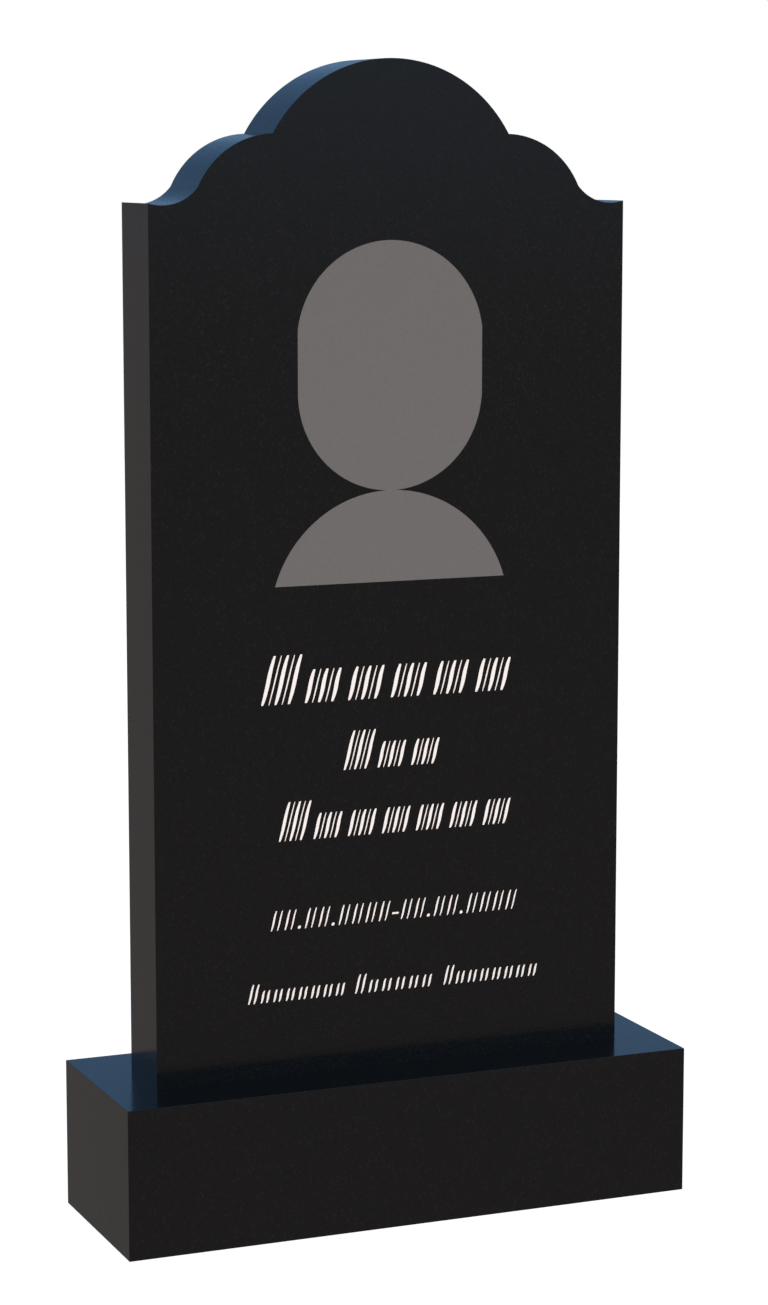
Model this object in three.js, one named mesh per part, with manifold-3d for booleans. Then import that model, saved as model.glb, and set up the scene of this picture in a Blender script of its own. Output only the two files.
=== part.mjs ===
// A headstone of polished black stone: an upright slab with a stepped round crown, on a low plinth.
// Millimetres. X runs along the slab's width, +Y towards its back and +Z up.
// The origin is in the middle of the plinth's underside.

import * as THREE from 'three';
import * as BufferGeometryUtils from 'three/addons/utils/BufferGeometryUtils.js';
import Module from 'manifold-3d';

// The plinth is a plain block
const plinthWidth = 600;
const plinthDepth = 200;
const plinthHeight = 150;

// The slab stands in the middle of the plinth
const slabWidth = 500;
const slabThickness = 80;
const slabHeight = 1000;

// Every edge that shows has a narrow flat taken off it
const arris = 0.3;

// The crown steps down from the top arch to a round shoulder, then to a hollow that ends at the side
const archRise = 72.2;
const shoulderRadius = 86.3;
const hollowRadius = 46.2;
const hollowInset = 14;

// Angles on the right-hand arcs, in degrees from +X about each arc's own centre
const notchAngle = 88.4;
const shoulderEndAngle = 24.5;
const hollowStartAngle = 218.9;

// One straight facet turns through this many degrees at most
const facetAngle = 4;

// The inscription is cut this deep, and leans this many degrees to the right
const strokeDepth = 1;
const strokeLean = 15.5;

// A stroke's ends are this share of its full width, and its middle swells by this power of a sine
const strokeEndShare = 0.5;
const strokeSwell = 0.55;

// A stroke bends to each side by this share of its width, and each of its sides has this many facets
const strokeBow = 0.1;
const strokeFacets = 3;

// The rows' places and sizes follow the slab's height: these numbers are thousandths of it.
// A word runs from its start to its end, measured from the slab's middle, in groups of heavy strokes.
// The gap between two groups is wider than a group's own gaps, by the row's groupGap.
const wordRows = [
  {
    baseline: 374.8, body: 33, tall: 48.5, heavy: 4.2, light: 1.5, groupStrokes: 3, groupGap: 1.3,
    words: [{ start: -140, end: 130, groups: 6 }],
  },
  {
    baseline: 305, body: 26, tall: 39, heavy: 3.4, light: 1.3, groupStrokes: 3, groupGap: 1.3,
    words: [{ start: -53, end: 52, groups: 3 }],
  },
  {
    baseline: 238, body: 25.7, tall: 39, heavy: 3.3, light: 1.3, groupStrokes: 3, groupGap: 1.3,
    words: [{ start: -122, end: 130.5, groups: 7 }],
  },
  {
    baseline: 76.5, body: 12.5, tall: 19.5, heavy: 2.3, light: 0, groupStrokes: 2, groupGap: 1.35,
    words: [
      { start: -155, end: -50.5, groups: 8 },
      { start: -41, end: 44, groups: 6 },
      { start: 55.5, end: 161, groups: 8 },
    ],
  },
];

// The counting row has groups of paired strokes, with a dot after most groups and a bar in the middle.
// One pair takes up its pair length, and its second stroke stands a step after the first.
const countRow = { baseline: 148.5, body: 20, start: -131.5, pair: 14.4, step: 6.4, heavy: 2, light: 1.6 };
const countGroups = [
  { pairs: 2, mark: 'dot' },
  { pairs: 2, mark: 'dot' },
  { pairs: 4, mark: 'bar' },
  { pairs: 2, mark: 'dot' },
  { pairs: 2, mark: 'dot' },
  { pairs: 4, mark: 'none' },
];
const markAdvance = { dot: 7.2, bar: 9.6, none: 0 };
const dotRadius = 1.6;
const dotInset = 2.4;
const dotFacets = 8;
const bar = { length: 7, height: 1.9, inset: 1.6, lift: 6 };

const stoneColour = 0x1c1c1d;
const stoneRoughness = 0.12;

const wasm = await Module();
wasm.setup();

const thousandth = slabHeight / 1000;
const leanSlope = Math.tan(THREE.MathUtils.degToRad(strokeLean));

// Points of an arc about a centre, from one angle to another, both ends included
function arcPoints(centre, radius, fromDegrees, toDegrees) {
  const facets = Math.ceil(Math.abs(toDegrees - fromDegrees) / facetAngle);
  const points = [];
  for (let i = 0; i <= facets; i += 1) {
    const angle = THREE.MathUtils.degToRad(THREE.MathUtils.lerp(fromDegrees, toDegrees, i / facets));
    points.push(new THREE.Vector2(centre.x + radius * Math.cos(angle), centre.y + radius * Math.sin(angle)));
  }
  return points;
}

// The place of an arc's centre, when the arc passes through a point at an angle
function arcCentre(point, radius, degrees) {
  const angle = THREE.MathUtils.degToRad(degrees);
  return new THREE.Vector2(point.x - radius * Math.cos(angle), point.y - radius * Math.sin(angle));
}

// The crown's right half, from the middle of the top arch down to the slab's side.
// The hollow ends at the side, each arc starts where the last one stopped, and the arch spans the notches.
function crownRightHalf() {
  const hollowReach = hollowRadius * Math.cos(THREE.MathUtils.degToRad(hollowStartAngle));
  const shoulderReach = shoulderRadius * Math.cos(THREE.MathUtils.degToRad(shoulderEndAngle));
  const shoulderX = slabWidth / 2 - hollowInset + hollowReach - shoulderReach;
  const notchX = shoulderX + shoulderRadius * Math.cos(THREE.MathUtils.degToRad(notchAngle));
  const notch = new THREE.Vector2(notchX, slabHeight - archRise);

  const archRadius = (notch.x ** 2 + archRise ** 2) / (2 * archRise);
  const archMiddle = new THREE.Vector2(0, slabHeight - archRadius);
  const archAngle = THREE.MathUtils.radToDeg(Math.atan2(notch.y - archMiddle.y, notch.x));
  const arch = arcPoints(archMiddle, archRadius, 90, archAngle);

  const shoulderMiddle = arcCentre(notch, shoulderRadius, notchAngle);
  const shoulder = arcPoints(shoulderMiddle, shoulderRadius, notchAngle, shoulderEndAngle);
  const shoulderFoot = shoulder[shoulder.length - 1];

  const hollowMiddle = arcCentre(shoulderFoot, hollowRadius, hollowStartAngle);
  const hollowEndAngle = 360 - THREE.MathUtils.radToDeg(Math.acos(hollowInset / hollowRadius));
  const hollow = arcPoints(hollowMiddle, hollowRadius, hollowStartAngle, hollowEndAngle);

  return [...arch, ...shoulder.slice(1), ...hollow.slice(1)];
}

// The outline reaches below the foot by an arris, so that a level cut at the foot leaves it square
function slabShape() {
  const right = crownRightHalf();
  const left = right.slice(1).map((point) => new THREE.Vector2(-point.x, point.y));
  const foot = [new THREE.Vector2(slabWidth / 2, -arris), new THREE.Vector2(-slabWidth / 2, -arris)];
  const clockwise = [...left.slice().reverse(), ...right, ...foot];
  return new THREE.Shape(clockwise.reverse());
}

// A block of the shape's outline, from z = 0 up, with the arris taken off its lower and upper edges
function arrisedBlock(shape, thickness) {
  const geometry = new THREE.ExtrudeGeometry(shape, {
    depth: thickness - 2 * arris,
    bevelEnabled: true,
    bevelSegments: 1,
    bevelThickness: arris,
    bevelSize: arris,
    bevelOffset: -arris,
  });
  geometry.translate(0, 0, arris);
  return geometry;
}

// One leaning stroke: its foot is at x on the baseline, and it narrows to both ends
function strokeShape(x, baseline, height, width) {
  const left = [];
  const right = [];
  for (let i = 0; i <= strokeFacets; i += 1) {
    const t = i / strokeFacets;
    const swell = Math.sin(Math.PI * t) ** strokeSwell;
    const halfWidth = width * (strokeEndShare + (1 - strokeEndShare) * swell) / 2;
    const middle = x + t * height * leanSlope + strokeBow * width * Math.sin(2 * Math.PI * t);
    left.push(new THREE.Vector2(middle - halfWidth, baseline + t * height));
    right.push(new THREE.Vector2(middle + halfWidth, baseline + t * height));
  }
  return new THREE.Shape([...right, ...left.reverse()]);
}

// A word is a row of groups, and its first group is tall. A group has evenly spaced heavy strokes,
// with a light one in each gap.
function wordShapes(row, word) {
  const { baseline, heavy, light, groupStrokes, groupGap } = row;
  const run = word.end - word.start - row.body * leanSlope - heavy;
  const pitch = run / (word.groups * (groupStrokes - 1) + (word.groups - 1) * groupGap);
  const shapes = [];
  let x = word.start + heavy / 2;
  for (let group = 0; group < word.groups; group += 1) {
    const height = group === 0 ? row.tall : row.body;
    for (let k = 0; k < groupStrokes; k += 1) {
      shapes.push(strokeShape(x + k * pitch, baseline, height, heavy));
      if (light > 0 && k < groupStrokes - 1) {
        shapes.push(strokeShape(x + (k + 0.5) * pitch, baseline, height, light));
      }
    }
    x += (groupStrokes - 1 + groupGap) * pitch;
  }
  return shapes;
}

function dotShape(x, baseline) {
  const points = [];
  for (let i = 0; i < dotFacets; i += 1) {
    const angle = (i / dotFacets) * 2 * Math.PI;
    const height = baseline + dotRadius * (1 + Math.sin(angle));
    points.push(new THREE.Vector2(x + dotRadius * Math.cos(angle), height));
  }
  return new THREE.Shape(points);
}

function barShape(x, baseline) {
  const low = baseline + bar.lift;
  const high = low + bar.height;
  const slant = bar.height * leanSlope;
  return new THREE.Shape([
    new THREE.Vector2(x, low),
    new THREE.Vector2(x + bar.length, low),
    new THREE.Vector2(x + bar.length + slant, high),
    new THREE.Vector2(x + slant, high),
  ]);
}

function countShapes() {
  const { baseline, body, start, pair, step, heavy, light } = countRow;
  const shapes = [];
  let x = start;
  for (const group of countGroups) {
    for (let k = 0; k < group.pairs; k += 1) {
      shapes.push(strokeShape(x + heavy, baseline, body, heavy));
      shapes.push(strokeShape(x + heavy + step, baseline, body, light));
      x += pair;
    }
    if (group.mark === 'dot') {
      shapes.push(dotShape(x + dotInset, baseline));
    }
    if (group.mark === 'bar') {
      shapes.push(barShape(x + bar.inset, baseline));
    }
    x += markAdvance[group.mark];
  }
  return shapes;
}

// A closed geometry as a solid that can be cut
function solidOf(geometry) {
  const bare = geometry.clone();
  bare.deleteAttribute('normal');
  bare.deleteAttribute('uv');
  const merged = BufferGeometryUtils.mergeVertices(bare);
  const vertProperties = new Float32Array(merged.attributes.position.array);
  const triVerts = new Uint32Array(merged.index.array);
  return new wasm.Manifold(new wasm.Mesh({ numProp: 3, vertProperties, triVerts }));
}

function geometryOf(solid) {
  const mesh = solid.getMesh();
  const geometry = new THREE.BufferGeometry();
  geometry.setAttribute('position', new THREE.BufferAttribute(new Float32Array(mesh.vertProperties), 3));
  geometry.setIndex(new THREE.BufferAttribute(new Uint32Array(mesh.triVerts), 1));
  geometry.computeVertexNormals();
  return geometry;
}

// A stroke's cutter reaches from the bottom of its cut to as far again in front of the slab's face
function strokeCutter(shape) {
  const geometry = new THREE.ExtrudeGeometry(shape, { depth: 2 * strokeDepth, bevelEnabled: false });
  geometry.scale(thousandth, thousandth, 1);
  geometry.translate(0, 0, slabThickness / 2 - strokeDepth);
  geometry.rotateX(Math.PI / 2);
  return solidOf(geometry);
}

function makeSlab() {
  const words = wordRows.flatMap((row) => row.words.flatMap((word) => wordShapes(row, word)));
  const block = arrisedBlock(slabShape(), slabThickness);
  block.translate(0, 0, -slabThickness / 2);
  block.rotateX(Math.PI / 2);
  let slab = solidOf(block).trimByPlane([0, 0, 1], 0);
  for (const shape of [...words, ...countShapes()]) {
    slab = slab.subtract(strokeCutter(shape));
  }
  return geometryOf(slab);
}

function makePlinth() {
  const x = plinthWidth / 2;
  const y = plinthDepth / 2;
  const outline = new THREE.Shape([
    new THREE.Vector2(arris - x, -y),
    new THREE.Vector2(x - arris, -y),
    new THREE.Vector2(x, arris - y),
    new THREE.Vector2(x, y - arris),
    new THREE.Vector2(x - arris, y),
    new THREE.Vector2(arris - x, y),
    new THREE.Vector2(-x, y - arris),
    new THREE.Vector2(-x, arris - y),
  ]);
  return arrisedBlock(outline, plinthHeight);
}

// Both pieces are of the same polished stone
function polishedStone() {
  return new THREE.MeshStandardMaterial({ color: stoneColour, roughness: stoneRoughness, metalness: 0 });
}

const headstone = new THREE.Group();

const plinth = new THREE.Mesh(makePlinth(), polishedStone());
plinth.name = 'plinth';
headstone.add(plinth);

const stele = new THREE.Mesh(makeSlab(), polishedStone());
stele.name = 'stele';
stele.position.z = plinthHeight;
headstone.add(stele);

export default headstone;
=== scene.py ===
# %% [markdown]
# # A polished black headstone
# The real thing is two blocks of black gabbro: an upright slab with a stepped round crown, and the low
# plinth that it stands on. Both are sawn, ground and polished by machine, so nearly all of their look is
# what they mirror. White strokes are cut into the front, and a grey silhouette is etched above them.
#
# The two blocks come as a finished frame with their true sizes. This lesson dresses them: it cuts a finer
# slab and plinth in the same place, gives each face its finish, and lights them so that the polish shows.

# %% Load the two blocks
import math

import bmesh
import bpy
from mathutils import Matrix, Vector


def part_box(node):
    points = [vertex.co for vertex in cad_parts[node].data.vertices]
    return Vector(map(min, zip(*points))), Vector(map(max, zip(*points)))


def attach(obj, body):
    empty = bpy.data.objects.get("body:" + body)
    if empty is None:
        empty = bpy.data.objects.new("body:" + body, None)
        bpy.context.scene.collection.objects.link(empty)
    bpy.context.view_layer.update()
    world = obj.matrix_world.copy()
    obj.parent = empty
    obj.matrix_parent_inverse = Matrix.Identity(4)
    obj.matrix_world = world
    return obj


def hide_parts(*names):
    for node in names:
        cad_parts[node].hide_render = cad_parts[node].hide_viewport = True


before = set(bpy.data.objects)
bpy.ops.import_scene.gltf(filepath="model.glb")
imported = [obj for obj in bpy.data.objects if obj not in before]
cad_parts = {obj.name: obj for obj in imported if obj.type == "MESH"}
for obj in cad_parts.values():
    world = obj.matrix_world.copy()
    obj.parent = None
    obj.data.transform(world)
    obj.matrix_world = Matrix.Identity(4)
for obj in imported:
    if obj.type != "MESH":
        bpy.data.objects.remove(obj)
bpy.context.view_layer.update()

slab_low, slab_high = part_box("stele")
plinth_low, plinth_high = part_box("plinth")

MM = 0.001
slab_foot = slab_low.z
front_y = slab_low.y
print("slab", [round(side / MM) for side in slab_high - slab_low], "mm")
print("plinth", [round(side / MM) for side in plinth_high - plinth_low], "mm")

# %% [markdown]
# ## Camera
# The photograph was taken from a little to the left of the stone and a little above its middle, with a
# long lens, so its upright edges hardly lean. The place, the angles and the lens below were worked out
# from the corners of the two blocks, by matching where each one lands in the picture.

# %% Camera
CAMERA_PLACE = Vector((-1.2684, -3.0731, 1.0604))
CAMERA_AZIMUTH = math.radians(-22.549)
CAMERA_ELEVATION = math.radians(8.489)
LONG_SIDE_MM = 36.0
LENS_MM = 92.556

towards_camera = Vector((
    math.sin(CAMERA_AZIMUTH) * math.cos(CAMERA_ELEVATION),
    -math.cos(CAMERA_AZIMUTH) * math.cos(CAMERA_ELEVATION),
    math.sin(CAMERA_ELEVATION),
))
camera = bpy.data.objects.new("camera", bpy.data.cameras.new("camera"))
camera.data.sensor_width = LONG_SIDE_MM
camera.data.lens = LENS_MM
camera.location = CAMERA_PLACE
camera.rotation_euler = (-towards_camera).to_track_quat("-Z", "Y").to_euler()
bpy.context.scene.collection.objects.link(camera)
bpy.context.scene.camera = camera
print("camera looks along", [round(part, 3) for part in -towards_camera])

# %% [markdown]
# ## Helpers for shader nodes
# A material is a small network of nodes. Two helpers keep the cells below short: one adds a node with its
# settings and inputs, where an input is either a plain value or another node's output, and one starts a
# node group, the way to build an effect once and use it in several materials.

# %% Node helpers
def add_node(tree, kind, settings=None, **inputs):
    """A new node. An input is named with underscores for spaces, or by number as in_0, in_1."""
    node = tree.nodes.new(kind)
    for name, value in (settings or {}).items():
        setattr(node, name, value)
    for name, value in inputs.items():
        key = int(name[3:]) if name.startswith("in_") else name.replace("_", " ")
        if isinstance(value, bpy.types.NodeSocket):
            tree.links.new(value, node.inputs[key])
        else:
            node.inputs[key].default_value = value
    return node


def add_math(tree, operation, first, second=0.0, third=0.0):
    """The result of one sum, as a socket."""
    node = add_node(tree, "ShaderNodeMath", {"operation": operation}, in_0=first, in_1=second, in_2=third)
    return node.outputs[0]


def add_range(tree, value, low, high, to_low=0.0, to_high=1.0, step="LINEAR"):
    """A value carried from one range to another, held inside it."""
    node = add_node(tree, "ShaderNodeMapRange", {"interpolation_type": step, "clamp": True},
                    Value=value, From_Min=low, From_Max=high, To_Min=to_low, To_Max=to_high)
    return node.outputs["Result"]


def new_group(name, kind, inputs, outputs):
    """A node group with its ends, and its group input and output nodes."""
    tree = bpy.data.node_groups.new(name, kind)
    for title, socket_kind, value in inputs:
        socket = tree.interface.new_socket(name=title, in_out="INPUT", socket_type=socket_kind)
        if value is not None:
            socket.default_value = value
    for title, socket_kind in outputs:
        tree.interface.new_socket(name=title, in_out="OUTPUT", socket_type=socket_kind)
    return tree, tree.nodes.new("NodeGroupInput"), tree.nodes.new("NodeGroupOutput")


# %% [markdown]
# ## The studio
# A polished black stone has almost no colour of its own: in the photograph its front is the dark mirror
# image of plain grey ground, its left side the same ground seen at a glancing angle, and everything that
# faces up is blue from an open sky. So the light comes from a soft sky over grey ground, which the polish
# mirrors, while the camera sees a plain white backdrop. A soft key light from the front lights the paint
# and the etching. The polish doesn't mirror it and it casts no shadow, so it leaves no bright spot on the
# stone and no grey one on the floor.

# %% Soft sky, grey ground and white backdrop
GROUND_GREY = (0.203, 0.182, 0.179, 1.0)
BACKDROP_WHITE = (1.0, 1.0, 1.0, 1.0)
# Each sky is a list of a height above the horizon, as the sine of its angle, and the colour there
SKY_BEHIND = [(0.00, (0.150, 0.170, 0.215, 1.0)), (0.09, (0.125, 0.220, 0.350, 1.0)),
              (0.17, (0.165, 0.315, 0.520, 1.0)), (0.23, (0.162, 0.312, 0.530, 1.0)),
              (0.33, (0.109, 0.222, 0.408, 1.0)), (0.70, (0.105, 0.225, 0.420, 1.0))]
SKY_BEFORE = [(0.0, (0.295, 0.354, 0.430, 1.0)), (0.12, (0.271, 0.352, 0.457, 1.0)),
              (0.26, (0.247, 0.352, 0.476, 1.0)), (0.70, (0.209, 0.342, 0.495, 1.0))]
HORIZON_SOFTNESS = 0.04
# The sky behind the stone gives way to the one before it between these places, from back to front
SKY_TURN = 0.6


def sky_ramp(tree, height, colours):
    """The sky's colour at a height above the horizon."""
    node = add_node(tree, "ShaderNodeValToRGB", Fac=height)
    ramp = node.color_ramp
    while len(ramp.elements) < len(colours):
        ramp.elements.new(0.5)
    for element, (place, colour) in zip(ramp.elements, colours):
        element.position = place
        element.color = colour
    return node.outputs["Color"]


def mix_colours(tree, factor, first, second):
    """A blend of two colours, each a plain value or a socket. A factor of 1 gives the second."""
    node = tree.nodes.new("ShaderNodeMix")
    node.data_type = "RGBA"
    for socket, value in zip((node.inputs[0], node.inputs[6], node.inputs[7]), (factor, first, second)):
        if isinstance(value, bpy.types.NodeSocket):
            tree.links.new(value, socket)
        else:
            socket.default_value = value
    return node.outputs[2]


world = bpy.data.worlds.new("sky over grey ground")
world.use_nodes = True
bpy.context.scene.world = world
sky_tree = world.node_tree
sky_tree.nodes.clear()
direction = add_node(sky_tree, "ShaderNodeSeparateXYZ",
                     Vector=add_node(sky_tree, "ShaderNodeTexCoord").outputs["Generated"])
behind = add_range(sky_tree, direction.outputs["Y"], -SKY_TURN, SKY_TURN)
sky = mix_colours(sky_tree, behind, sky_ramp(sky_tree, direction.outputs["Z"], SKY_BEFORE),
                  sky_ramp(sky_tree, direction.outputs["Z"], SKY_BEHIND))
above = add_range(sky_tree, direction.outputs["Z"], -HORIZON_SOFTNESS, HORIZON_SOFTNESS)
around = add_node(sky_tree, "ShaderNodeBackground", Color=mix_colours(sky_tree, above, GROUND_GREY, sky))
backdrop = add_node(sky_tree, "ShaderNodeBackground", Color=BACKDROP_WHITE)
seen = add_node(sky_tree, "ShaderNodeMixShader",
                in_0=add_node(sky_tree, "ShaderNodeLightPath").outputs["Is Camera Ray"],
                in_1=around.outputs[0], in_2=backdrop.outputs[0])
add_node(sky_tree, "ShaderNodeOutputWorld", Surface=seen.outputs[0])
bpy.context.scene.view_settings.view_transform = "Standard"
print("sky has", len(SKY_BEHIND) + len(SKY_BEFORE), "colours")

# %% Key light
KEY_STRENGTH = 1.60
KEY_COLOUR = (1.0, 0.88, 0.76)
KEY_SOFTNESS = math.radians(40)
KEY_AZIMUTH = math.radians(-12)
KEY_ELEVATION = math.radians(38)

key_light = bpy.data.lights.new("key light", "SUN")
key_light.energy = KEY_STRENGTH
key_light.color = KEY_COLOUR
key_light.angle = KEY_SOFTNESS
key_light.use_shadow = False
key = bpy.data.objects.new("key light", key_light)
towards_key = Vector((
    math.sin(KEY_AZIMUTH) * math.cos(KEY_ELEVATION),
    -math.cos(KEY_AZIMUTH) * math.cos(KEY_ELEVATION),
    math.sin(KEY_ELEVATION),
))
key.rotation_euler = towards_key.to_track_quat("Z", "Y").to_euler()
key.visible_glossy = False
bpy.context.scene.collection.objects.link(key)

# %% [markdown]
# ## Floor
# The stone stands on a plain pale floor, which glows a little so that it is as white as the backdrop. The
# polish doesn't mirror it, because the ground that the photograph's stone mirrors is a mid grey.

# %% Floor
FLOOR_REACH = 8.0
FLOOR_GREY = (0.3, 0.3, 0.3, 1.0)
FLOOR_GLOW = 0.92


def new_material(name):
    """A material with one Principled shader, with nothing joined to it yet."""
    material = bpy.data.materials.new(name)
    material.use_nodes = True
    tree = material.node_tree
    return material, tree, tree.nodes["Principled BSDF"]


def new_piece(name, points, faces, materials):
    """An object from points and faces. A face is a list of point numbers and the number of its finish."""
    mesh = bpy.data.meshes.new(name)
    mesh.from_pydata(points, [], [corners for corners, finish in faces])
    for polygon, (corners, finish) in zip(mesh.polygons, faces):
        polygon.material_index = finish
    for material in materials:
        mesh.materials.append(material)
    piece = bpy.data.objects.new(name, mesh)
    bpy.context.scene.collection.objects.link(piece)
    return piece


floor_finish, floor_tree, floor_shader = new_material("white floor")
floor_shader.inputs["Base Color"].default_value = FLOOR_GREY
floor_shader.inputs["Roughness"].default_value = 1.0
floor_shader.inputs["Specular IOR Level"].default_value = 0.0
floor_shader.inputs["Emission Color"].default_value = BACKDROP_WHITE
floor_shader.inputs["Emission Strength"].default_value = FLOOR_GLOW
floor_corners = [(x, y, 0.0) for x, y in ((-FLOOR_REACH, -FLOOR_REACH), (FLOOR_REACH, -FLOOR_REACH),
                                          (FLOOR_REACH, FLOOR_REACH), (-FLOOR_REACH, FLOOR_REACH))]
floor = new_piece("floor", floor_corners, [((0, 1, 2, 3), 0)], [floor_finish])
floor.visible_glossy = False

# %% [markdown]
# ## What gabbro looks like inside
# Black gabbro is a tight mosaic of dark crystals about two millimetres across. A few pale laths of
# feldspar lie among them, more in some patches than in others, and they are all that tells the stone from
# black glass. A Voronoi texture gives each crystal its own number, and a second one, stretched, gives the
# laths. The group hands out plain masks, so that the polished and the honed finish can each use the same
# crystals in their own way. It is fed with Object coordinates, so the pattern runs through the block as in
# real stone and stays put when the block moves.

# %% Group for the stone's crystals
CRYSTAL_SIZE = 0.0024
PATCH_SIZE = 0.018
LATH_SHARE = 0.26
# A patch with few laths has this part of the usual share, and one with many has the second
PATCH_SHARES = (0.6, 1.4)
PATCH_CONTRAST = (0.35, 0.65)
LATH_TURN = (0.6, 0.4, 0.9)
LATH_STRETCH = (1.3, 1.0, 0.8)
# How far from a lath's middle, in cells, it has faded out and where it is still whole
LATH_FADE = (0.70, 0.10)


def crystals_group():
    """For each place: its crystal's number, how much of it is feldspar, and how warm that is."""
    tree, given, result = new_group(
        "gabbro crystals", "ShaderNodeTree",
        [("Vector", "NodeSocketVector", None), ("Crystal size", "NodeSocketFloat", CRYSTAL_SIZE),
         ("Patch size", "NodeSocketFloat", PATCH_SIZE), ("Lath share", "NodeSocketFloat", LATH_SHARE)],
        [("Crystal", "NodeSocketFloat"), ("Lath", "NodeSocketFloat"), ("Warmth", "NodeSocketFloat")])
    place = given.outputs["Vector"]
    per_crystal = add_math(tree, "DIVIDE", 1.0, given.outputs["Crystal size"])
    per_patch = add_math(tree, "DIVIDE", 1.0, given.outputs["Patch size"])

    mosaic = add_node(tree, "ShaderNodeTexVoronoi", Vector=place, Scale=per_crystal)
    crystal = add_node(tree, "ShaderNodeSeparateColor", Color=mosaic.outputs["Color"])
    patch = add_node(tree, "ShaderNodeTexNoise", Vector=place, Scale=per_patch, Detail=3.0)

    # Laths: slightly stretched cells, of which only the ones with a high number show, and only their middle
    turned = add_node(tree, "ShaderNodeMapping", Vector=place, Rotation=LATH_TURN, Scale=LATH_STRETCH)
    laths = add_node(tree, "ShaderNodeTexVoronoi", Vector=turned.outputs[0], Scale=per_crystal)
    number = add_node(tree, "ShaderNodeSeparateColor", Color=laths.outputs["Color"])
    share = add_math(tree, "MULTIPLY", given.outputs["Lath share"],
                     add_range(tree, patch.outputs[0], *PATCH_CONTRAST, *PATCH_SHARES))
    chosen = add_math(tree, "GREATER_THAN", number.outputs["Red"], add_math(tree, "SUBTRACT", 1.0, share))
    core = add_range(tree, laths.outputs["Distance"], *LATH_FADE)
    lath = add_math(tree, "MULTIPLY", add_math(tree, "MULTIPLY", chosen, core), number.outputs["Green"])

    for title, socket in (("Crystal", crystal.outputs["Red"]), ("Lath", lath),
                          ("Warmth", number.outputs["Blue"])):
        tree.links.new(socket, result.inputs[title])
    return tree


gabbro_crystals = crystals_group()
print("group", gabbro_crystals.name, "has", len(gabbro_crystals.nodes), "nodes")


def object_coordinates(tree):
    """The place inside the block, which stays with the block when it moves."""
    return tree.nodes.new("ShaderNodeTexCoord").outputs["Object"]


def place_crystals(tree, coordinates):
    """The outputs of the crystals group, put into a material."""
    return add_node(tree, "ShaderNodeGroup", {"node_tree": gabbro_crystals}, Vector=coordinates).outputs


# %% [markdown]
# ## Four finishes
# **Polished**: the mirror finish of the front, the sides and the crown. The colour is nearly black, and the
# mirror image is a little soft, more so over the feldspar, which takes the polish less well. The crystals
# wear down by slightly different amounts, and a faint bump shows it. **Honed**: the back, ground smooth but
# not polished, so it is greyer and mirrors almost nothing. **Etched**: the silhouette, where a needle has
# pecked the polish away, which leaves a flat mid grey. **White enamel**: the paint in the cut strokes.

# %% Polished and honed stone
CRYSTAL_BLACK = (0.0002, 0.0002, 0.0002, 1.0)
CRYSTAL_DARK = (0.0007, 0.0007, 0.0007, 1.0)
LATH_TAN = (0.0093, 0.0071, 0.0050, 1.0)
LATH_GREY = (0.0069, 0.0064, 0.0059, 1.0)
LATH_DULLNESS = 0.16
POLISH_ROUGHNESS = (0.13, 0.17)
POLISH_RELIEF = 0.0001
STONE_IOR = 1.62
HONED_BLACK = (0.014, 0.014, 0.0145, 1.0)
HONED_DARK = (0.024, 0.024, 0.0245, 1.0)
HONED_LATH_TAN = (0.075, 0.070, 0.062, 1.0)
HONED_LATH_GREY = (0.070, 0.072, 0.072, 1.0)
HONED_ROUGHNESS = (0.42, 0.56)
HONED_RELIEF = 0.0004
HONED_RELIEF_SHARE = 0.12
SWIRLS_PER_METRE = 9.0
SWIRL_CONTRAST = (0.3, 0.7)


def stone_colour(tree, crystals, black, dark, tan, grey):
    """Dark crystals of slightly different depth, with pale laths among them."""
    mosaic = mix_colours(tree, crystals["Crystal"], black, dark)
    laths = mix_colours(tree, crystals["Warmth"], grey, tan)
    return mix_colours(tree, crystals["Lath"], mosaic, laths)


def polished_stone():
    """Nearly black, with a mirror image that is duller over the feldspar."""
    material, tree, shader = new_material("polished gabbro")
    crystals = place_crystals(tree, object_coordinates(tree))
    colour = stone_colour(tree, crystals, CRYSTAL_BLACK, CRYSTAL_DARK, LATH_TAN, LATH_GREY)
    tree.links.new(colour, shader.inputs["Base Color"])
    blur = add_range(tree, crystals["Crystal"], 0.0, 1.0, *POLISH_ROUGHNESS)
    dull = add_math(tree, "MULTIPLY_ADD", crystals["Lath"], LATH_DULLNESS, blur)
    tree.links.new(dull, shader.inputs["Roughness"])
    shader.inputs["IOR"].default_value = STONE_IOR
    relief = add_node(tree, "ShaderNodeBump", Strength=1.0, Distance=POLISH_RELIEF,
                      Height=crystals["Crystal"])
    tree.links.new(relief.outputs[0], shader.inputs["Normal"])
    return material


def honed_stone():
    """Dark grey and dull, with the faint swirls that the grinding head leaves."""
    material, tree, shader = new_material("honed gabbro")
    coordinates = object_coordinates(tree)
    crystals = place_crystals(tree, coordinates)
    colour = stone_colour(tree, crystals, HONED_BLACK, HONED_DARK, HONED_LATH_TAN, HONED_LATH_GREY)
    tree.links.new(colour, shader.inputs["Base Color"])
    swirl = add_node(tree, "ShaderNodeTexNoise", Vector=coordinates, Scale=SWIRLS_PER_METRE, Detail=5.0,
                     Distortion=1.5)
    dull = add_range(tree, swirl.outputs[0], *SWIRL_CONTRAST, *HONED_ROUGHNESS)
    tree.links.new(dull, shader.inputs["Roughness"])
    relief = add_node(tree, "ShaderNodeBump", Strength=HONED_RELIEF_SHARE, Distance=HONED_RELIEF,
                      Height=crystals["Crystal"])
    tree.links.new(relief.outputs[0], shader.inputs["Normal"])
    return material


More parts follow.
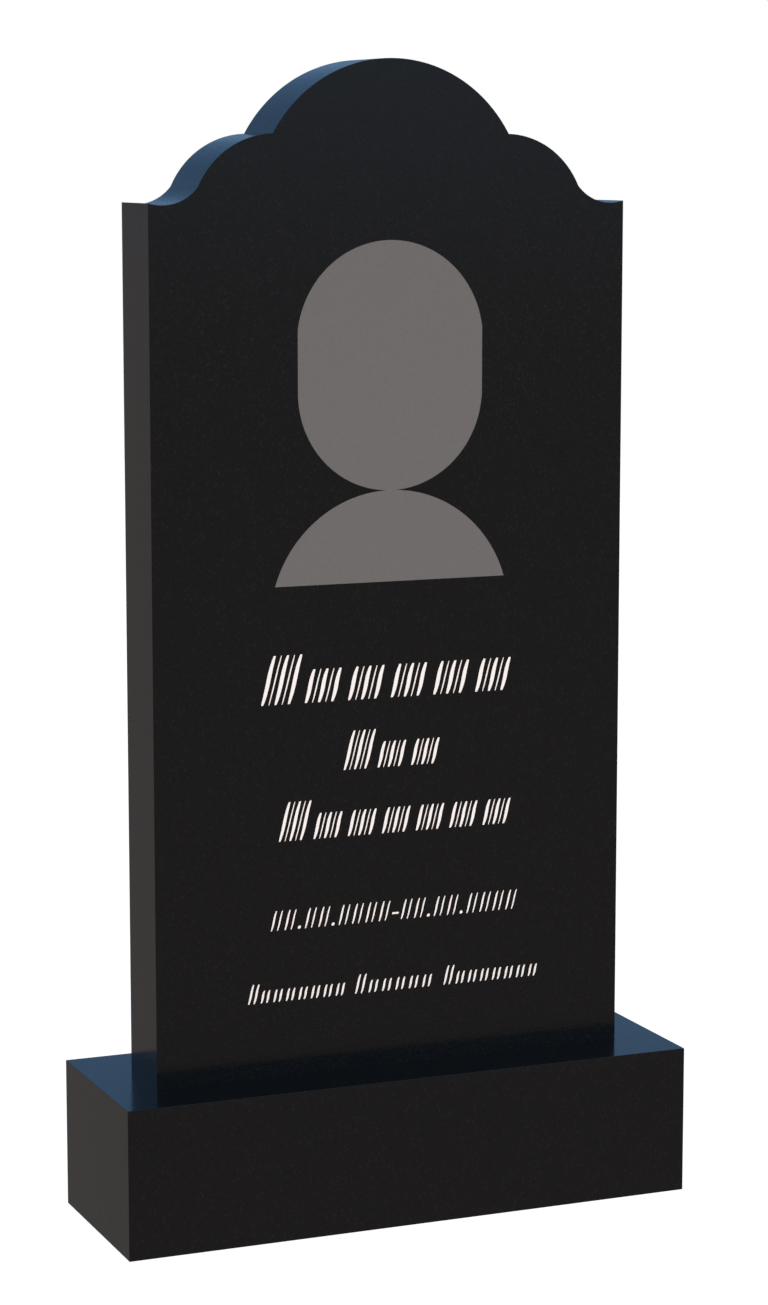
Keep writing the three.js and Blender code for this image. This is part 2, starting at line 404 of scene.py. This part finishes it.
# %% Etched stone and white enamel
ETCHED_GREY = (0.166, 0.150, 0.141, 1.0)
ETCHED_DARK = (0.152, 0.137, 0.128, 1.0)
ENAMEL_WHITE = (0.980, 0.895, 0.840, 1.0)
ENAMEL_POOLED = (0.965, 0.880, 0.825, 1.0)
PECKS_PER_METRE = 620.0
PECK_CONTRAST = (0.35, 0.65)
PECK_DEPTH = 0.0002
PECK_DEPTH_SHARE = 0.25
ETCHED_ROUGHNESS = 0.9
ETCHED_SHINE = 0.15
POOLS_PER_METRE = 60.0
POOL_CONTRAST = (0.3, 0.7)
ENAMEL_ROUGHNESS = 0.5


def etched_stone():
    """Flat grey, stippled by the needle."""
    material, tree, shader = new_material("etched gabbro")
    pecks = add_node(tree, "ShaderNodeTexNoise", Vector=object_coordinates(tree), Scale=PECKS_PER_METRE,
                     Detail=2.0)
    tone = add_range(tree, pecks.outputs[0], *PECK_CONTRAST)
    colour = mix_colours(tree, tone, ETCHED_DARK, ETCHED_GREY)
    tree.links.new(colour, shader.inputs["Base Color"])
    shader.inputs["Roughness"].default_value = ETCHED_ROUGHNESS
    shader.inputs["Specular IOR Level"].default_value = ETCHED_SHINE
    relief = add_node(tree, "ShaderNodeBump", Strength=PECK_DEPTH_SHARE, Distance=PECK_DEPTH,
                      Height=pecks.outputs[0])
    tree.links.new(relief.outputs[0], shader.inputs["Normal"])
    return material


def white_enamel():
    """Warm white paint, a shade deeper where it has pooled."""
    material, tree, shader = new_material("white enamel")
    pooling = add_node(tree, "ShaderNodeTexNoise", Vector=object_coordinates(tree), Scale=POOLS_PER_METRE,
                       Detail=1.0)
    shade = add_range(tree, pooling.outputs[0], *POOL_CONTRAST)
    colour = mix_colours(tree, shade, ENAMEL_POOLED, ENAMEL_WHITE)
    tree.links.new(colour, shader.inputs["Base Color"])
    shader.inputs["Roughness"].default_value = ENAMEL_ROUGHNESS
    return material


polished = polished_stone()
honed = honed_stone()
etched = etched_stone()
enamel = white_enamel()
POLISHED, HONED = 0, 1
print("finishes:", ", ".join(material.name for material in (polished, honed, etched, enamel)))

# %% [markdown]
# ## The slab's outline
# The crown is drawn with a compass. On each side a hollow starts at the slab's edge, a round shoulder
# follows it, and the top arch spans the two notches. Starting from the edge and working inwards, each arc's
# centre follows from where the last arc stopped, so the whole outline needs only the radii and angles below.

# %% Outline of the slab
ARCH_RISE = 72.2 * MM
SHOULDER_RADIUS = 86.3 * MM
HOLLOW_RADIUS = 46.2 * MM
HOLLOW_INSET = 14.0 * MM
NOTCH_ANGLE = 88.4
SHOULDER_END_ANGLE = 24.5
HOLLOW_START_ANGLE = 218.9
ARC_STEP = 1.5


def on_circle(x, z, radius, degrees):
    """The point at an angle on a circle about (x, z). A negative radius gives the opposite point."""
    angle = math.radians(degrees)
    return x + radius * math.cos(angle), z + radius * math.sin(angle)


def arc(x, z, radius, start, end):
    """Points of an arc, both ends included, with one every degree and a half."""
    steps = math.ceil(abs(end - start) / ARC_STEP)
    return [on_circle(x, z, radius, start + (end - start) * i / steps) for i in range(steps + 1)]


def crown_right_half(width, height):
    """From the middle of the top arch down to the slab's right edge."""
    hollow_x = width / 2 - HOLLOW_INSET
    shoulder_foot_x, _ = on_circle(hollow_x, 0.0, HOLLOW_RADIUS, HOLLOW_START_ANGLE)
    shoulder_x, _ = on_circle(shoulder_foot_x, 0.0, -SHOULDER_RADIUS, SHOULDER_END_ANGLE)
    notch_x, _ = on_circle(shoulder_x, 0.0, SHOULDER_RADIUS, NOTCH_ANGLE)
    notch_z = height - ARCH_RISE

    arch_radius = (notch_x ** 2 + ARCH_RISE ** 2) / (2 * ARCH_RISE)
    arch_z = height - arch_radius
    arch = arc(0.0, arch_z, arch_radius, 90.0, math.degrees(math.atan2(notch_z - arch_z, notch_x)))

    _, shoulder_z = on_circle(0.0, notch_z, -SHOULDER_RADIUS, NOTCH_ANGLE)
    shoulder = arc(shoulder_x, shoulder_z, SHOULDER_RADIUS, NOTCH_ANGLE, SHOULDER_END_ANGLE)

    _, hollow_z = on_circle(0.0, shoulder[-1][1], -HOLLOW_RADIUS, HOLLOW_START_ANGLE)
    hollow_end = 360.0 - math.degrees(math.acos(HOLLOW_INSET / HOLLOW_RADIUS))
    hollow = arc(hollow_x, hollow_z, HOLLOW_RADIUS, HOLLOW_START_ANGLE, hollow_end)
    return arch + shoulder[1:] + hollow[1:]


slab_size = slab_high - slab_low
right_half = crown_right_half(slab_size.x, slab_size.z)
left_half = [(-x, z) for x, z in reversed(right_half[1:])]
slab_outline = left_half + right_half + [(slab_size.x / 2, 0.0), (-slab_size.x / 2, 0.0)]
edge_height = right_half[-1][1]
print("outline has", len(slab_outline), "points, and its edges are", round(edge_height / MM, 1), "mm high")

# %% [markdown]
# ## The two blocks
# Each block is an outline given a thickness. The sawn edges of a real block are too keen to touch, so the
# mason rubs a third of a millimetre off them. A Bevel modifier does the same on every edge that turns
# sharply, and leaves the soft creases of the crown alone. It goes by an edge weight, so that the slab's
# foot, which nobody can touch, stays sharp and the joint with the plinth stays tight.

# %% Blocks with eased edges
ARRIS = 0.3 * MM
SHARP_TURN = math.radians(70)


def extruded(name, outline, near, far, place, finishes):
    """A block from an outline that runs clockwise as seen from its near side.

    place(u, v, depth) gives a point in space. The finishes are those of the near face, the far face and
    the rim.
    """
    count = len(outline)
    points = [place(u, v, near) for u, v in outline] + [place(u, v, far) for u, v in outline]
    faces = [(tuple(reversed(range(count))), finishes[0]), (tuple(range(count, 2 * count)), finishes[1])]
    for i in range(count):
        j = (i + 1) % count
        faces.append(((i, j, count + j, count + i), finishes[2]))
    return new_piece(name, points, faces, [polished, honed])


def upright(u, v, depth):
    """For a block whose outline stands up, as the slab's does."""
    return (u, depth, slab_foot + v)


def level(u, v, depth):
    """For a block whose outline lies flat, as the plinth's does."""
    return (u, -v, depth)


def ease_edges(piece, sharp_below):
    """Eases every edge that turns sharply, apart from the ones that lie at or under a height."""
    shape = bmesh.new()
    shape.from_mesh(piece.data)
    weight = shape.edges.layers.float.new("bevel_weight_edge")
    eased = 0
    for edge in shape.edges:
        turns = edge.calc_face_angle() > SHARP_TURN
        if turns and max(corner.co.z for corner in edge.verts) > sharp_below:
            edge[weight] = 1.0
            eased += 1
    shape.to_mesh(piece.data)
    shape.free()
    bevel = piece.modifiers.new("eased edges", "BEVEL")
    bevel.width = ARRIS
    bevel.segments = 1
    bevel.limit_method = "WEIGHT"
    print(piece.name, "has", eased, "eased edges")


slab = extruded("slab", slab_outline, slab_low.y, slab_high.y, upright, (POLISHED, HONED, POLISHED))
ease_edges(slab, slab_foot + ARRIS)

half_x, half_y = plinth_high.x, plinth_high.y
plinth_outline = [(-half_x, half_y), (half_x, half_y), (half_x, -half_y), (-half_x, -half_y)]
plinth = extruded("plinth_block", plinth_outline, plinth_low.z, plinth_high.z, level,
                  (HONED, POLISHED, POLISHED))
ease_edges(plinth, plinth_low.z - ARRIS)

# %% [markdown]
# ## The inscription
# The inscription is rows of plain leaning strokes, cut a millimetre deep and filled with paint to a third
# of a millimetre below the face. One stroke is a slender leaf with a slight double bend. It repeats some
# hundred and sixty times in different sizes, which is just what Geometry Nodes are for. The rows are first
# laid out as points that carry their stroke's width and height. The node tree then puts a cutter on each
# point, leans them all by one angle and gives them the paint.

# %% The cutters: one leaf, one dot and one bar, all of size one
STROKE_DEPTH = 0.35 * MM
STROKE_LEAN = math.radians(15.5)
STROKE_END_SHARE = 0.5
STROKE_SWELL = 0.55
STROKE_BOW = 0.1
STROKE_STEPS = 12
# Rings of a cutter, from in front of the face to the bottom of the cut. Each is a depth, in stroke depths,
# and the share of its width by which it is narrower there, as a chisel's cut is
CUTTER_RINGS = [(-1.0, 0.0), (0.85, 0.0), (1.0, 0.06)]
END_NARROWING = 0.05
DOT_STEPS = 8
DOT_ARC_SHARE = 0.92


def leaf_side(side):
    """One long side of the leaf, from its foot to its tip."""
    points = []
    for i in range(STROKE_STEPS + 1):
        t = i / STROKE_STEPS
        swell = math.sin(math.pi * t) ** STROKE_SWELL
        half = (STROKE_END_SHARE + (1 - STROKE_END_SHARE) * swell) / 2
        points.append((STROKE_BOW * math.sin(2 * math.pi * t) + side * half, t))
    return points


def cutter_piece(name, left, right):
    """A cutter between two long sides. Its last ring is a little narrower than the others."""
    points = []
    for depth, narrower in CUTTER_RINGS:
        for side, other in ((left, right), (right, left)):
            for (x, z), (far_x, far_z) in zip(side, other):
                points.append((x + (far_x - x) * narrower / 2, depth,
                               z + (0.5 - z) * narrower * END_NARROWING))
    rows = len(left)
    ring = 2 * rows
    edge = list(range(rows)) + [rows + i for i in reversed(range(rows))]
    faces = []
    for level_number in range(len(CUTTER_RINGS) - 1):
        base = level_number * ring
        for a, b in zip(edge, edge[1:] + edge[:1]):
            faces.append(((base + a, base + b, base + ring + b, base + ring + a), 0))
    last = (len(CUTTER_RINGS) - 1) * ring
    for i in range(rows - 1):
        faces.append(((i + 1, i, rows + i, rows + i + 1), 0))
        faces.append(((last + i, last + i + 1, last + rows + i + 1, last + rows + i), 0))
    piece = new_piece(name, points, faces, [enamel])
    outward = bmesh.new()
    outward.from_mesh(piece.data)
    bmesh.ops.recalc_face_normals(outward, faces=outward.faces)
    outward.to_mesh(piece.data)
    outward.free()
    return piece


def round_side(side):
    """One side of the dot, from its foot to its top."""
    angles = [math.pi * (i / DOT_STEPS - 0.5) * DOT_ARC_SHARE for i in range(DOT_STEPS + 1)]
    return [(side * math.cos(angle) / 2, 0.5 + math.sin(angle) / 2) for angle in angles]


leaf = cutter_piece("leaf cutter", leaf_side(-1), leaf_side(1))
dot = cutter_piece("dot cutter", round_side(-1), round_side(1))
bar = cutter_piece("bar cutter", [(-0.5, 0.0), (-0.5, 1.0)], [(0.5, 0.0), (0.5, 1.0)])
LEAF, DOT, BAR = 0, 1, 2
print("a leaf cutter has", len(leaf.data.polygons), "faces")

# %% Where every stroke goes
# Rows of stroke groups, in millimetres above the slab's foot. A run is where its groups start and end,
# across from the slab's middle, and how many groups there are
STROKE_ROWS = [
    {"baseline": 374.8, "body": 33.0, "tall": 48.5, "heavy": 4.2, "light": 1.5, "group_strokes": 3,
     "group_gap": 1.3, "runs": [(-140.0, 130.0, 6)]},
    {"baseline": 305.0, "body": 26.0, "tall": 39.0, "heavy": 3.4, "light": 1.3, "group_strokes": 3,
     "group_gap": 1.3, "runs": [(-53.0, 52.0, 3)]},
    {"baseline": 238.0, "body": 25.7, "tall": 39.0, "heavy": 3.3, "light": 1.3, "group_strokes": 3,
     "group_gap": 1.3, "runs": [(-122.0, 130.5, 7)]},
    {"baseline": 76.5, "body": 12.5, "tall": 19.5, "heavy": 2.3, "light": 0.0, "group_strokes": 2,
     "group_gap": 1.35, "runs": [(-155.0, -50.5, 8), (-41.0, 44.0, 6), (55.5, 161.0, 8)]},
]
COUNT_BASELINE, COUNT_BODY, COUNT_START = 148.5, 20.0, -131.5
COUNT_PAIR, COUNT_STEP = 14.4, 6.4
COUNT_HEAVY, COUNT_LIGHT = 2.0, 1.6
COUNT_GROUPS = [(2, DOT), (2, DOT), (4, BAR), (2, DOT), (2, DOT), (4, None)]
MARK_ADVANCE = {DOT: 7.2, BAR: 9.6, None: 0.0}
DOT_SIZE, DOT_INSET = 3.2, 2.4
BAR_LENGTH, BAR_HEIGHT, BAR_INSET, BAR_LIFT = 7.0, 1.9, 1.6, 6.0
lean_slope = math.tan(STROKE_LEAN)


def run_strokes(row, start, end, groups):
    """Groups of evenly spaced heavy strokes, with a light one in each gap. The first group is tall."""
    length = end - start - row["body"] * lean_slope - row["heavy"]
    gaps = row["group_strokes"] - 1
    pitch = length / (groups * gaps + (groups - 1) * row["group_gap"])
    strokes = []
    x = start + row["heavy"] / 2
    for group in range(groups):
        height = row["tall"] if group == 0 else row["body"]
        for k in range(gaps + 1):
            strokes.append((LEAF, x + k * pitch, row["baseline"], row["heavy"], height))
            if row["light"] > 0 and k < gaps:
                strokes.append((LEAF, x + (k + 0.5) * pitch, row["baseline"], row["light"], height))
        x += (gaps + row["group_gap"]) * pitch
    return strokes


def count_strokes():
    """Groups of paired strokes, with a dot or a bar after each group."""
    strokes = []
    x = COUNT_START
    for pairs, mark in COUNT_GROUPS:
        for _ in range(pairs):
            strokes.append((LEAF, x + COUNT_HEAVY, COUNT_BASELINE, COUNT_HEAVY, COUNT_BODY))
            strokes.append((LEAF, x + COUNT_HEAVY + COUNT_STEP, COUNT_BASELINE, COUNT_LIGHT, COUNT_BODY))
            x += COUNT_PAIR
        if mark == DOT:
            strokes.append((DOT, x + DOT_INSET, COUNT_BASELINE, DOT_SIZE, DOT_SIZE))
        if mark == BAR:
            strokes.append((BAR, x + BAR_INSET + BAR_LENGTH / 2, COUNT_BASELINE + BAR_LIFT,
                            BAR_LENGTH, BAR_HEIGHT))
        x += MARK_ADVANCE[mark]
    return strokes


strokes = count_strokes()
for row in STROKE_ROWS:
    for start, end, groups in row["runs"]:
        strokes += run_strokes(row, start, end, groups)
print("strokes, dots and bars:", len(strokes))

# %% Node tree that sets a cutter on every point
def strokes_tree():
    """The tree that turns the laid out points into leaning, painted cutters."""
    tree, given, result = new_group(
        "strokes on points", "GeometryNodeTree",
        [("Geometry", "NodeSocketGeometry", None), ("Leaf", "NodeSocketObject", None),
         ("Dot", "NodeSocketObject", None), ("Bar", "NodeSocketObject", None),
         ("Depth", "NodeSocketFloat", STROKE_DEPTH), ("Lean slope", "NodeSocketFloat", lean_slope),
         ("Paint", "NodeSocketMaterial", None)],
        [("Geometry", "NodeSocketGeometry")])

    def stored(name, kind="FLOAT"):
        node = add_node(tree, "GeometryNodeInputNamedAttribute", {"data_type": kind}, Name=name)
        return node.outputs[0]

    size = add_node(tree, "ShaderNodeCombineXYZ", X=stored("width"), Y=given.outputs["Depth"],
                    Z=stored("height"))
    joined = tree.nodes.new("GeometryNodeJoinGeometry")
    for number, title in ((LEAF, "Leaf"), (DOT, "Dot"), (BAR, "Bar")):
        shape = add_node(tree, "GeometryNodeObjectInfo", Object=given.outputs[title])
        chosen = add_node(tree, "FunctionNodeCompare", {"data_type": "INT", "operation": "EQUAL"},
                          in_2=stored("shape", "INT"), in_3=number)
        placed = add_node(tree, "GeometryNodeInstanceOnPoints", Points=given.outputs["Geometry"],
                          Selection=chosen.outputs[0], Instance=shape.outputs["Geometry"],
                          Scale=size.outputs[0])
        tree.links.new(placed.outputs[0], joined.inputs[0])
    real = add_node(tree, "GeometryNodeRealizeInstances", Geometry=joined.outputs[0])

    # The lean: each point moves sideways by its height above its own stroke's foot
    position = tree.nodes.new("GeometryNodeInputPosition").outputs[0]
    place = add_node(tree, "ShaderNodeSeparateXYZ", Vector=position)
    rise = add_math(tree, "SUBTRACT", place.outputs["Z"], stored("foot"))
    shift = add_math(tree, "MULTIPLY", rise, given.outputs["Lean slope"])
    aside = add_node(tree, "ShaderNodeCombineXYZ", X=shift)
    leaning = add_node(tree, "GeometryNodeSetPosition", Geometry=real.outputs[0], Offset=aside.outputs[0])
    painted = add_node(tree, "GeometryNodeSetMaterial", Geometry=leaning.outputs[0],
                       Material=given.outputs["Paint"])
    tree.links.new(painted.outputs[0], result.inputs[0])
    return tree


def socket_id(tree, title):
    """The identifier of a tree's input, which is how a modifier knows it."""
    return next(item.identifier for item in tree.interface.items_tree
                if item.item_type == "SOCKET" and item.in_out == "INPUT" and item.name == title)


def plain_mesh(piece):
    """The piece with its modifiers turned into an ordinary mesh."""
    graph = bpy.context.evaluated_depsgraph_get()
    mesh = bpy.data.meshes.new_from_object(piece.evaluated_get(graph), depsgraph=graph)
    piece.modifiers.clear()
    piece.data = mesh
    return piece


stroke_tree = strokes_tree()
stroke_feet = [(x * MM, front_y, slab_foot + foot * MM) for _, x, foot, _, _ in strokes]
cutters = new_piece("stroke cutters", stroke_feet, [], [enamel])
for name, kind, values in (("shape", "INT", [stroke[0] for stroke in strokes]),
                           ("width", "FLOAT", [stroke[3] * MM for stroke in strokes]),
                           ("height", "FLOAT", [stroke[4] * MM for stroke in strokes]),
                           ("foot", "FLOAT", [slab_foot + stroke[2] * MM for stroke in strokes])):
    cutters.data.attributes.new(name, kind, "POINT").data.foreach_set("value", values)
setter = cutters.modifiers.new("strokes on points", "NODES")
setter.node_group = stroke_tree
for title, value in (("Leaf", leaf), ("Dot", dot), ("Bar", bar), ("Depth", STROKE_DEPTH),
                     ("Lean slope", lean_slope), ("Paint", enamel)):
    setter[socket_id(stroke_tree, title)] = value
plain_mesh(cutters)
print("cutters have", len(cutters.data.polygons), "faces")

# %% [markdown]
# ## The silhouette
# Above the strokes stands a plain head and shoulders, a stand-in for a portrait. It is flat: a needle has
# taken the polish off, a tenth of a millimetre deep. The head is a block with round ends, and the
# shoulders are the top of a circle, cut off level. They touch at one point, so each has its own cutter.

# %% Cutters for the head and the shoulders
ETCH_DEPTH = 0.1 * MM
SILHOUETTE_X = -1.6 * MM
HEAD_HALF_WIDTH = 97.6 * MM
HEAD_TOP_RADIUS, HEAD_TOP_CENTRE = 98.4 * MM, 727.1 * MM
HEAD_LOW_CENTRE = 678.8 * MM
SHOULDERS_RADIUS, SHOULDERS_CENTRE, SHOULDERS_FOOT = 127.9 * MM, 453.5 * MM, 490.9 * MM


def etching_cutter(name, outline):
    """A thin block that reaches from in front of the face to the bottom of the etching."""
    block = extruded(name, outline, front_y - MM, front_y + ETCH_DEPTH, upright, (0, 0, 0))
    block.data.materials.clear()
    block.data.materials.append(etched)
    return block


top_corner = math.degrees(math.acos(HEAD_HALF_WIDTH / HEAD_TOP_RADIUS))
head_outline = (arc(SILHOUETTE_X, HEAD_TOP_CENTRE, HEAD_TOP_RADIUS, 180.0 - top_corner, top_corner)
                + arc(SILHOUETTE_X, HEAD_LOW_CENTRE, HEAD_HALF_WIDTH, 0.0, -180.0))
foot_corner = math.degrees(math.asin((SHOULDERS_FOOT - SHOULDERS_CENTRE) / SHOULDERS_RADIUS))
shoulders_outline = arc(SILHOUETTE_X, SHOULDERS_CENTRE, SHOULDERS_RADIUS, 180.0 - foot_corner, foot_corner)
head = etching_cutter("head cutter", head_outline)
shoulders = etching_cutter("shoulders cutter", shoulders_outline)
print("head", len(head_outline), "points, shoulders", len(shoulders_outline), "points")

# %% [markdown]
# ## Cutting the face
# A Boolean modifier takes each cutter out of the slab, and the faces it leaves behind keep the cutter's
# finish: white enamel in the strokes, etched grey in the silhouette. After the cut the modifiers are turned
# into plain mesh and the cutters are thrown away.

# %% Cut the slab
CREASE = math.radians(20)


def cut(piece, cutter):
    """Takes a cutter out of a piece. The cut's faces get the cutter's finish."""
    boolean = piece.modifiers.new(cutter.name, "BOOLEAN")
    boolean.operation = "DIFFERENCE"
    boolean.solver = "EXACT"
    boolean.object = cutter
    boolean.material_mode = "TRANSFER"


def crisp_and_smooth(piece):
    """Arcs shade smoothly, and every turn of more than twenty degrees stays crisp."""
    piece.data.polygons.foreach_set("use_smooth", [True] * len(piece.data.polygons))
    piece.data.set_sharp_from_angle(angle=CREASE)


def open_edges(piece):
    """How many edges don't join exactly two faces. A closed solid has none."""
    check = bmesh.new()
    check.from_mesh(piece.data)
    count = sum(not edge.is_manifold for edge in check.edges)
    check.free()
    return count


for cutter in (cutters, head, shoulders):
    cut(slab, cutter)
plain_mesh(slab)
plain_mesh(plinth)
for tool in (cutters, head, shoulders, leaf, dot, bar):
    bpy.data.objects.remove(tool)
for piece in (slab, plinth):
    crisp_and_smooth(piece)
    print(piece.name, "has", len(piece.data.polygons), "faces and", open_edges(piece), "open edges")
print("slab finishes:", [material.name for material in slab.data.materials if material])

# %% [markdown]
# ## Fit the pieces to the frame
# The finer slab and plinth stand exactly where the frame's blocks are, so they take their places. Both
# belong to the one body that the object has.

# %% Fit the pieces in place
for piece, node in ((slab, "stele"), (plinth, "plinth")):
    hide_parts(node)
    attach(piece, "root")
